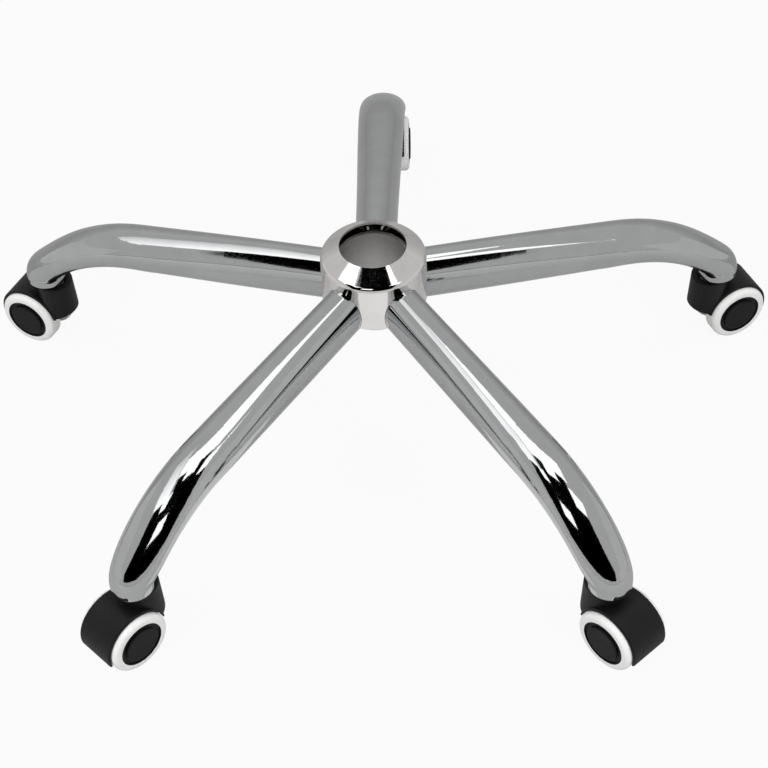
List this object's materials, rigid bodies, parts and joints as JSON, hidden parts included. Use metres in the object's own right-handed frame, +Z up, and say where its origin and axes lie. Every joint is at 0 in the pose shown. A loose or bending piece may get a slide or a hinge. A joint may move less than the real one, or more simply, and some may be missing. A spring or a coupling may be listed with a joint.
{
  "type": "office chair five star base",
  "caption": "Chromed star base for a swivel chair: bent tubular legs round a domed hub with a gas lift bore, each ending in a hooded twin wheel caster.",
  "frame": {"origin": "on the gas lift axis, at the height where the legs' centre lines meet, inside the gas lift bore", "axes": "+Z up along the gas lift bore; +Y towards the back leg; +X to the right seen from the front"},
  "size_m": [0.6472, 0.6139, 0.179],
  "materials": {
    "chrome": "polished",
    "socket_steel": "satin",
    "bright_steel": "satin",
    "hood_nylon": "satin",
    "core_nylon": "matte",
    "tyre_pu": "matte"
  },
  "bodies": {
    "base": {"hub_shell": "chrome", "gas_lift_socket": "socket_steel", "leg_1": "chrome", "leg_2": "chrome", "leg_3": "chrome", "leg_4": "chrome", "leg_5": "chrome", "leg_end_plate_1": "socket_steel", "caster_socket_1": "socket_steel", "grip_ring_1": "bright_steel", "leg_end_plate_2": "socket_steel", "caster_socket_2": "socket_steel", "grip_ring_2": "bright_steel", "leg_end_plate_3": "socket_steel", "caster_socket_3": "socket_steel", "grip_ring_3": "bright_steel", "leg_end_plate_4": "socket_steel", "caster_socket_4": "socket_steel", "grip_ring_4": "bright_steel", "leg_end_plate_5": "socket_steel", "caster_socket_5": "socket_steel", "grip_ring_5": "bright_steel"},
    "caster_1": {"caster_stem_1": "bright_steel", "caster_hood_1": "hood_nylon", "axle_1": "bright_steel"},
    "wheel_1_left": {"wheel_core_1_left": "core_nylon", "tyre_1_left": "tyre_pu"},
    "wheel_1_right": {"wheel_core_1_right": "core_nylon", "tyre_1_right": "tyre_pu"},
    "caster_2": {"caster_stem_2": "bright_steel", "caster_hood_2": "hood_nylon", "axle_2": "bright_steel"},
    "wheel_2_left": {"wheel_core_2_left": "core_nylon", "tyre_2_left": "tyre_pu"},
    "wheel_2_right": {"wheel_core_2_right": "core_nylon", "tyre_2_right": "tyre_pu"},
    "caster_3": {"caster_stem_3": "bright_steel", "caster_hood_3": "hood_nylon", "axle_3": "bright_steel"},
    "wheel_3_left": {"wheel_core_3_left": "core_nylon", "tyre_3_left": "tyre_pu"},
    "wheel_3_right": {"wheel_core_3_right": "core_nylon", "tyre_3_right": "tyre_pu"},
    "caster_4": {"caster_stem_4": "bright_steel", "caster_hood_4": "hood_nylon", "axle_4": "bright_steel"},
    "wheel_4_left": {"wheel_core_4_left": "core_nylon", "tyre_4_left": "tyre_pu"},
    "wheel_4_right": {"wheel_core_4_right": "core_nylon", "tyre_4_right": "tyre_pu"},
    "caster_5": {"caster_stem_5": "bright_steel", "caster_hood_5": "hood_nylon", "axle_5": "bright_steel"},
    "wheel_5_left": {"wheel_core_5_left": "core_nylon", "tyre_5_left": "tyre_pu"},
    "wheel_5_right": {"wheel_core_5_right": "core_nylon", "tyre_5_right": "tyre_pu"}
  },
  "joints": [
    {"name": "caster_1_swivel", "type": "hinge", "parent": "base", "child": "caster_1", "pos_m": [0, 0.28804, -0.11799], "axis": [0, 0, 1], "continuous": true},
    {"name": "wheel_1_left_roll", "type": "hinge", "parent": "caster_1", "child": "wheel_1_left", "pos_m": [0, 0.30804, -0.11799], "axis": [-1, 0, 0], "continuous": true},
    {"name": "wheel_1_right_roll", "type": "hinge", "parent": "caster_1", "child": "wheel_1_right", "pos_m": [0, 0.30804, -0.11799], "axis": [-1, 0, 0], "continuous": true},
    {"name": "caster_2_swivel", "type": "hinge", "parent": "base", "child": "caster_2", "pos_m": [-0.27395, 0.08901, -0.11799], "axis": [0, 0, 1], "continuous": true},
    {"name": "wheel_2_left_roll", "type": "hinge", "parent": "caster_2", "child": "wheel_2_left", "pos_m": [-0.29192, 0.09778, -0.11799], "axis": [-0.4384, -0.8988, 0], "continuous": true},
    {"name": "wheel_2_right_roll", "type": "hinge", "parent": "caster_2", "child": "wheel_2_right", "pos_m": [-0.29192, 0.09778, -0.11799], "axis": [-0.4384, -0.8988, 0], "continuous": true},
    {"name": "caster_3_swivel", "type": "hinge", "parent": "base", "child": "caster_3", "pos_m": [-0.16931, -0.23303, -0.11799], "axis": [0, 0, 1], "continuous": true},
    {"name": "wheel_3_left_roll", "type": "hinge", "parent": "caster_3", "child": "wheel_3_left", "pos_m": [-0.1832, -0.24742, -0.11799], "axis": [0.7193, -0.6947, 0], "continuous": true},
    {"name": "wheel_3_right_roll", "type": "hinge", "parent": "caster_3", "child": "wheel_3_right", "pos_m": [-0.1832, -0.24742, -0.11799], "axis": [0.7193, -0.6947, 0], "continuous": true},
    {"name": "caster_4_swivel", "type": "hinge", "parent": "base", "child": "caster_4", "pos_m": [0.16931, -0.23303, -0.11799], "axis": [0, 0, 1], "continuous": true},
    {"name": "wheel_4_left_roll", "type": "hinge", "parent": "caster_4", "child": "wheel_4_left", "pos_m": [0.1832, -0.24742, -0.11799], "axis": [0.7193, 0.6947, 0], "continuous": true},
    {"name": "wheel_4_right_roll", "type": "hinge", "parent": "caster_4", "child": "wheel_4_right", "pos_m": [0.1832, -0.24742, -0.11799], "axis": [0.7193, 0.6947, 0], "continuous": true},
    {"name": "caster_5_swivel", "type": "hinge", "parent": "base", "child": "caster_5", "pos_m": [0.27395, 0.08901, -0.11799], "axis": [0, 0, 1], "continuous": true},
    {"name": "wheel_5_left_roll", "type": "hinge", "parent": "caster_5", "child": "wheel_5_left", "pos_m": [0.29192, 0.09778, -0.11799], "axis": [-0.4384, 0.8988, 0], "continuous": true},
    {"name": "wheel_5_right_roll", "type": "hinge", "parent": "caster_5", "child": "wheel_5_right", "pos_m": [0.29192, 0.09778, -0.11799], "axis": [-0.4384, 0.8988, 0], "continuous": true}
  ]
}
